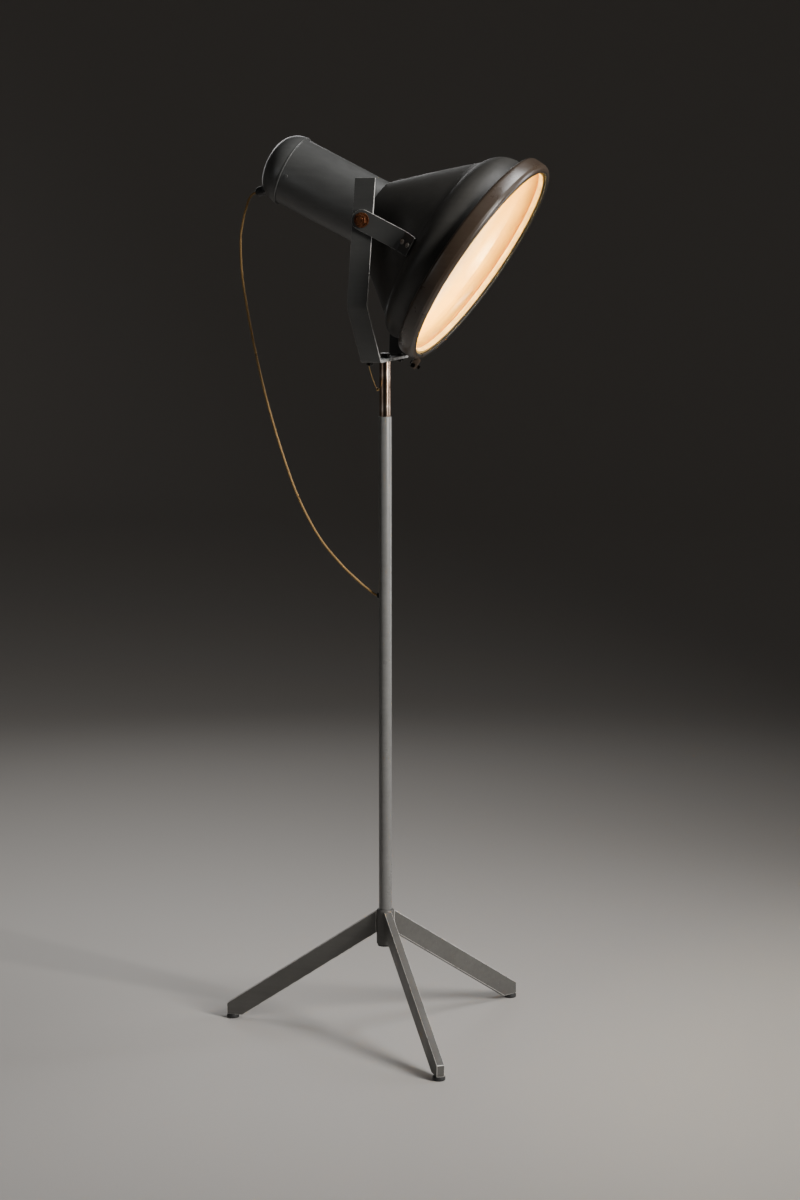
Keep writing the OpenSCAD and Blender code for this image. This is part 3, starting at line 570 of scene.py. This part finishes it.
def section_at(t):
    """Centre and lean of the shade's circular section at a station."""
    if t <= SEAM_S:
        return (t, 0.0, 0.0)
    if t <= CONE_S:
        return between((SEAM_S, 0.0, 0.0), CREASE_AT, (t - SEAM_S) / (CONE_S - SEAM_S))
    if t <= RIM_S + RIM_NECK:
        return between(CREASE_AT, RIM_NECK_AT, (t - CONE_S) / (RIM_S + RIM_NECK - CONE_S))
    return (RIM_S + (t - RIM_S) * COS_RIM, RIM_U - (t - RIM_S) * SIN_RIM, RIM_TILT)


def shade_point(t, r, a):
    s, u, lean = section_at(t)
    return HEAD @ Vector(((s + r * math.cos(a) * math.sin(math.radians(lean))) * MM,
                          r * math.sin(a) * MM,
                          (u + r * math.cos(a) * math.cos(math.radians(lean))) * MM))


def beside(points, offset):
    """Line beside another, at a distance to its left."""
    made = []
    for i, p in enumerate(points):
        a = Vector(points[max(i - 1, 0)])
        b = Vector(points[min(i + 1, len(points) - 1)])
        t = (b - a).normalized()
        made.append((p[0] - t.y * offset, p[1] + t.x * offset))
    return made


# Share of the way from the crease to the rim's neck, and the radius there
shoulder = [(0.06, 180.0), (0.17, 187.0), (0.3, 192.3), (0.46, 196.0), (0.63, 197.0),
            (0.8, 196.3), (1.0, RIM_NECK_R)]
START_R = HOUSING_R + 2
CONE_STEPS = 12
cone = [(SEAM_S + (CONE_S - SEAM_S) * k / CONE_STEPS,
         START_R + (CONE_R - START_R) * k / CONE_STEPS) for k in range(CONE_STEPS + 1)]
band_points = [Vector(cone[-1])] + [Vector((CONE_S + (RIM_S + RIM_NECK - CONE_S) * k, r))
                                    for k, r in shoulder]
band = [tuple(p) for p in spline(band_points, 4)]
lip = [(RIM_S - 16, 195.5), (RIM_S - 9, 198.5), (RIM_S - 4, 203.0), (RIM_S - SHEET, FLANGE_R)]
outer = cone[:-1] + band + lip
SLOPE = math.atan2(CONE_R - START_R, CONE_S - SEAM_S)
inner = beside(outer, -SHEET)
inner[0] = (SEAM_S + SHEET, START_R + SHEET * math.tan(SLOPE) - SHEET / math.cos(SLOPE))
NECK_BACK, NECK_R_IN = SEAM_S - 16, HOUSING_BORE_R - SHEET
neck = [(NECK_BACK, NECK_R_IN), (NECK_BACK, HOUSING_BORE_R), (SEAM_S, HOUSING_BORE_R)]
skin = neck + outer + [(RIM_S, FLANGE_R)] + inner[::-1] + [(SEAM_S + SHEET, NECK_R_IN)]
inner_from = len(neck) + len(outer)
SIDES = 192
bm = bmesh.new()
uv = bm.loops.layers.uv.new("around_along")
rings = [[bm.verts.new(shade_point(t, r, 2 * math.pi * i / SIDES)) for i in range(SIDES)]
         for t, r in skin]
for k in range(len(skin)):
    for i in range(SIDES):
        j, m = (k + 1) % len(skin), (i + 1) % SIDES
        face = bm.faces.new((rings[k][i], rings[k][m], rings[j][m], rings[j][i]))
        for loop, (a, b) in zip(face.loops, ((i, k), (i + 1, k), (i + 1, j), (i, j))):
            loop[uv].uv = (a / SIDES, (skin[b][0] - CONE_S) * MM)
        if k >= inner_from or k == 0:
            face.material_index = 1
add_object("shade_skin", mesh_of(bm, "shade_skin"), "head", ["enamel", "inside"], "shade",
           50)

# ---------- clamp ring, seal and glass ----------
ring_outline = rounded([
    (RING_BACK, 201), (RING_BACK, 209), (RING_BACK + 1.5, 213), (RING_BACK + 5, RING_R - 0.7),
    (RING_BACK + 9, RING_R), (RING_FRONT - 10, RING_R), (RING_FRONT - 5, RING_R - 1.5),
    (RING_FRONT - 2, RING_R - 4), (RING_FRONT - 0.5, RING_R - 7.5), (RING_FRONT, 205),
    (RING_FRONT - 1, RING_OPEN + 0.5), (RING_FRONT - 3, RING_OPEN), (GASKET_FRONT, RING_OPEN),
    (GASKET_FRONT, 212), (RING_BACK + 6, 212), (RING_BACK + 3, 211), (RING_BACK + 3, 201)], 3.0, 4)
split = math.degrees(EAR_GAP / 2 / RING_R)
# The ring's inner front lip gets the near-black finish: painted shade where the rolled lip turns
# away from the light.
painted_shade_lip = [x > GASKET_FRONT - 1 and r < RING_OPEN + 4 for x, r in ring_outline]
bm = spun(ring_outline, RIM, 192, 180 + split, 540 - split, painted_shade_lip)
for side in (1, -1):
    low = min(side * EAR_GAP / 2, side * (EAR_GAP / 2 + EAR_T)) * MM
    ear = bmesh.ops.create_cube(bm, size=1.0)["verts"]
    height = EAR_Z + EAR_PAST - RING_R + EAR_ROOT
    size = Vector((EAR_W, EAR_T, height)) * MM
    centre = Vector((EAR_X * MM, low + EAR_T / 2 * MM, (height / 2 - EAR_Z - EAR_PAST) * MM))
    for v in ear:
        v.co = RIM @ (centre + Vector((v.co.x * size.x, v.co.y * size.y, v.co.z * size.z)))
    edges = list({e for v in ear for e in v.link_edges})
    bmesh.ops.bevel(bm, geom=edges, offset=0.8 * MM, segments=2, profile=0.5, affect="EDGES")
add_object("clamp_ring_rolled", mesh_of(bm, "clamp_ring_rolled"), "head", ["rim", "lip"],
           "clamp_ring", 40)

seal_outline = rounded([(SEAL_EASE, SEAL_R_IN), (SEAL_EASE, SEAL_R_OUT),
                        (GASKET_FRONT - SEAL_EASE, SEAL_R_OUT),
                        (GASKET_FRONT - SEAL_EASE, SEAL_R_IN)], 0.8)
add_object("seal_ring", mesh_of(spun(seal_outline, RIM, 192), "seal_ring"), "head", ["seal"],
           "gasket")
glass_outline = rounded([(GLASS_BACK, 0), (GLASS_BACK, GLASS_R), (GLASS_FRONT, GLASS_R),
                         (GLASS_FRONT, 0)], 0.5, 2)
add_object("glass_pane", mesh_of(spun(glass_outline, RIM, 160), "glass_pane"), "head", ["glass"],
           "glass")

# ---------- housing and its cap ----------
housing_outline = rounded([(HOUSING_BACK, HOUSING_BORE_R), (HOUSING_BACK, HOUSING_R),
                           (HOUSING_RING, HOUSING_R), (SEAM_S, HOUSING_R),
                           (SEAM_S, HOUSING_BORE_R)], 0.4)
add_object("housing_tube", mesh_of(spun(housing_outline, HEAD, 160), "housing_tube"), "head",
           ["housing"], "housing")
cap_centre = (CAP_BACK + CAP_ROUND, CAP_R - CAP_ROUND)
cap_outline = (
    rounded([(CAP_FRONT, HOUSING_R), (CAP_FRONT, CAP_R), (CAP_FRONT - 0.6, CAP_R + CAP_BEAD),
             (CAP_FRONT - 2.4, CAP_R + CAP_BEAD), (CAP_FRONT - 3, CAP_R)], 0.5, 3, False)
    + arc(*cap_centre, CAP_ROUND, 90, 180, 28)[1:] + [(CAP_BACK, 0), (CAP_BACK + SHEET, 0)]
    + arc(*cap_centre, CAP_ROUND - SHEET, 180, 100, 20) + [(HOUSING_BACK - 0.3, HOUSING_R)])
add_object("rear_cap_dome", mesh_of(spun(cap_outline, HEAD, 160), "rear_cap_dome"), "head",
           ["housing"], "rear_cap", 35)

nut_outline = rounded([(-5, 6), (-5, 9), (-14, 9), (-18, 7), (-GLAND_TIP, 5), (-GLAND_TIP, 2.3),
                       (-10, 2.3), (-10, 6)], 0.8)
add_object("gland_dome", mesh_of(spun(nut_outline, GLAND, 64), "gland_dome"), "head", ["plastic"],
           "gland_nut")

# ---------- bulb ----------
bulb_points = [(BULB_BACK, 12.5), (-44, 15), (-30, 24)] + arc(BULB_S, 0, BULB_R, 130, 0, 28)
bulb_line = spline([Vector(p) for p in bulb_points], 2)
bulb_outline = [(BULB_BACK, 0)] + [(p.x, max(p.y, 0)) for p in bulb_line]
add_object("bulb_globe", mesh_of(spun(bulb_outline, HEAD, 64), "bulb_globe"), "head", ["bulb"],
           "bulb", 60)

# ---------- pole and mast ----------
for name, node, body, slot, (low, high, bore, radius, edge) in (
        ("pole_tube", "pole", "stand", "pole_paint",
         (POLE_BOTTOM, POLE_TOP, POLE_BORE_R, POLE_R, 0.7)),
        ("mast_tube", "mast", "mast", "mast_steel",
         (MAST_BOTTOM, YOKE_Z, MAST_BORE_R, MAST_R, 0.5))):
    outline = rounded([(low, bore), (low, radius), (high, radius), (high, bore)], edge)
    add_object(name, mesh_of(spun(outline, UP, 96), name), body, [node], node)

# ---------- pieces with rounded edges ----------
# Faces that take the bright edge finish: the yoke's +X side is a painted highlight where the key
# light falls; the straps' thin sides are partly worn paint, partly painted highlight.
lit_and_worn_faces = {"yoke": lambda n: n.x > 0.9, "strap_left": lambda n: abs(n.y) < 0.3,
               "strap_right": lambda n: abs(n.y) < 0.3}
for node, body, materials, bevel, slot in (
        ("hub", "stand", ["leg"], 0.8, "pole_paint"),
        *((leg, "stand", ["leg", "leg_edge"], 1.3, "pole_paint")
          for leg in ("leg_back", "leg_left", "leg_right")),
        ("glides", "stand", ["rubber"], 0.5, "black_rubber"),
        ("lock_nut", "stand", ["pole"], 0.5, "pole_paint"),
        ("lock_screw", "stand", ["steel"], 0.3, "bright_steel"),
        ("yoke", "mast", ["bar", "bar_edge"], 1.3, "bar_paint"),
        ("yoke_washer", "mast", ["black_steel"], 0.3, "black_oxide"),
        ("yoke_bolt", "mast", ["black_steel"], 0.6, "black_oxide"),
        ("bond_bolts", "mast", ["black_steel"], 0.5, "black_oxide"),
        ("bond_nuts", "mast", ["black_steel"], 0.5, "black_oxide"),
        ("bond_screw", "mast", ["brass"], 0.4, "brass"),
        ("housing_screws", "head", ["housing"], 0.7, "housing_paint"),
        ("gland_body", "head", ["plastic"], 0.5, "black_plastic"),
        ("strap_left", "head", ["bar", "bar_edge"], 1.1, "bar_paint"),
        ("strap_right", "head", ["bar", "bar_edge"], 1.1, "bar_paint"),
        ("strap_screws", "head", ["steel"], 0.7, "bright_steel"),
        ("strap_nuts", "head", ["steel"], 0.3, "bright_steel"),
        ("pivot_bolts", "head", ["rust"], 0.6, "rusty_steel"),
        ("pivot_washers", "head", ["rust"], 0.4, "rusty_steel"),
        ("pivot_nuts", "head", ["rust"], 0.9, "rusty_steel"),
        ("clamp_screw", "head", ["black_steel"], 0.4, "rusty_steel"),
        ("wing_nut", "wing_nut", ["black_steel"], 0.5, "rusty_steel")):
    refined(node, body, materials, bevel, lit_and_worn_faces.get(node))

# ---------- bonding wire ----------
wire = [Vector((BOND_X + x, BOND_Y + y, YOKE_Z + z)) * MM for x, y, z in (
    (-3, 7, -3), (-5, 14, -8), (-6, 26, -17), (-7, 42, -30), (-7, 58, -43), (-6.5, 68, -51),
    (-5.5, 73.2, -54))]
add_object("bond_wire_bare", mesh_of(tube(spline(wire, 4), BOND_WIRE_R * MM, 10),
                                     "bond_wire_bare"), "mast", ["brass"], "bond_wire")

# ---------- small CAD pieces that keep their shape ----------
for node, material in (("hub_plug", "plastic"), ("pole_grommet", "rubber"), ("pole_lead", "braid"),
                       ("mast_bush", "white"), ("mast_plug", "steel"), ("holder_plate", "steel"),
                       ("lamp_holder", "white"), ("bulb_cap", "brass"), ("terminal_block", "white"),
                       ("head_lead", "braid"), ("holder_wires", "white")):
    nodes[node].data.materials.clear()
    nodes[node].data.materials.append(M[material])

# ---------- floor and light ----------
# A round pale studio floor that curves up into a plain wall far from the object
STUDIO_R, STUDIO_CURVE, STUDIO_TOP, STUDIO_SIDES = 13.0, 4.0, 11.0, 96
studio_line = [(0.02, 0.0), (3.0, 0.0), (6.0, 0.0), (STUDIO_R - STUDIO_CURVE, 0.0)]
studio_line += [(STUDIO_R - STUDIO_CURVE + STUDIO_CURVE * math.sin(math.radians(a)),
                 STUDIO_CURVE * (1 - math.cos(math.radians(a)))) for a in range(6, 91, 6)]
studio_line.append((STUDIO_R, STUDIO_TOP))
bm = bmesh.new()
studio_rings = [[bm.verts.new((r * math.cos(2 * math.pi * i / STUDIO_SIDES),
                               r * math.sin(2 * math.pi * i / STUDIO_SIDES), z))
                 for i in range(STUDIO_SIDES)] for r, z in studio_line]
bm.faces.new(studio_rings[0])
for below, above in zip(studio_rings, studio_rings[1:]):
    for i in range(STUDIO_SIDES):
        m = (i + 1) % STUDIO_SIDES
        bm.faces.new((below[i], above[i], above[m], below[m]))
studio_mesh = bpy.data.meshes.new("studio")
bm.to_mesh(studio_mesh)
bm.free()
studio_mesh.shade_smooth()
studio = bpy.data.objects.new("studio", studio_mesh)
bpy.context.scene.collection.objects.link(studio)
studio_mesh.materials.append(Surface("studio_pale", (0.50, 0.48, 0.46), 0.7).material)

world = bpy.data.worlds.new("world")
bpy.context.scene.world = world
world.use_nodes = True
world.node_tree.nodes["Background"].inputs["Color"].default_value = (0.065, 0.062, 0.059, 1)
world.node_tree.nodes["Background"].inputs["Strength"].default_value = 1.0


def area(name, place, target, size, energy, spread, color=(1, 1, 1)):
    data = bpy.data.lights.new(name, "AREA")
    data.shape = "RECTANGLE"
    data.size, data.size_y = size
    data.energy = energy
    data.spread = math.radians(spread)
    data.color = color
    light = bpy.data.objects.new(name, data)
    bpy.context.scene.collection.objects.link(light)
    light.location = place
    light.rotation_euler = (Vector(target) - Vector(place)).to_track_quat("-Z", "Y").to_euler()


area("key", (3.05, -1.2, 2.2), (0, 0, 1.0), (0.6, 1.8), 38, 80, (1.0, 0.97, 0.93))
area("edge", (2.1, 1.3, 1.5), (0, 0, 1.1), (0.35, 2.2), 7, 90)
area("top", (1.2, 0.3, 3.4), (-0.05, 0, 1.6), (1.4, 0.5), 8, 80)
area("fill", (-2.6, -3.2, 1.8), (0, 0, 1.2), (1.8, 1.8), 5, 160, (0.95, 0.98, 1.0))
area("back", (-1.7, 3.3, 2.3), (0, 0, 1.1), (1.6, 1.6), 9, 120)
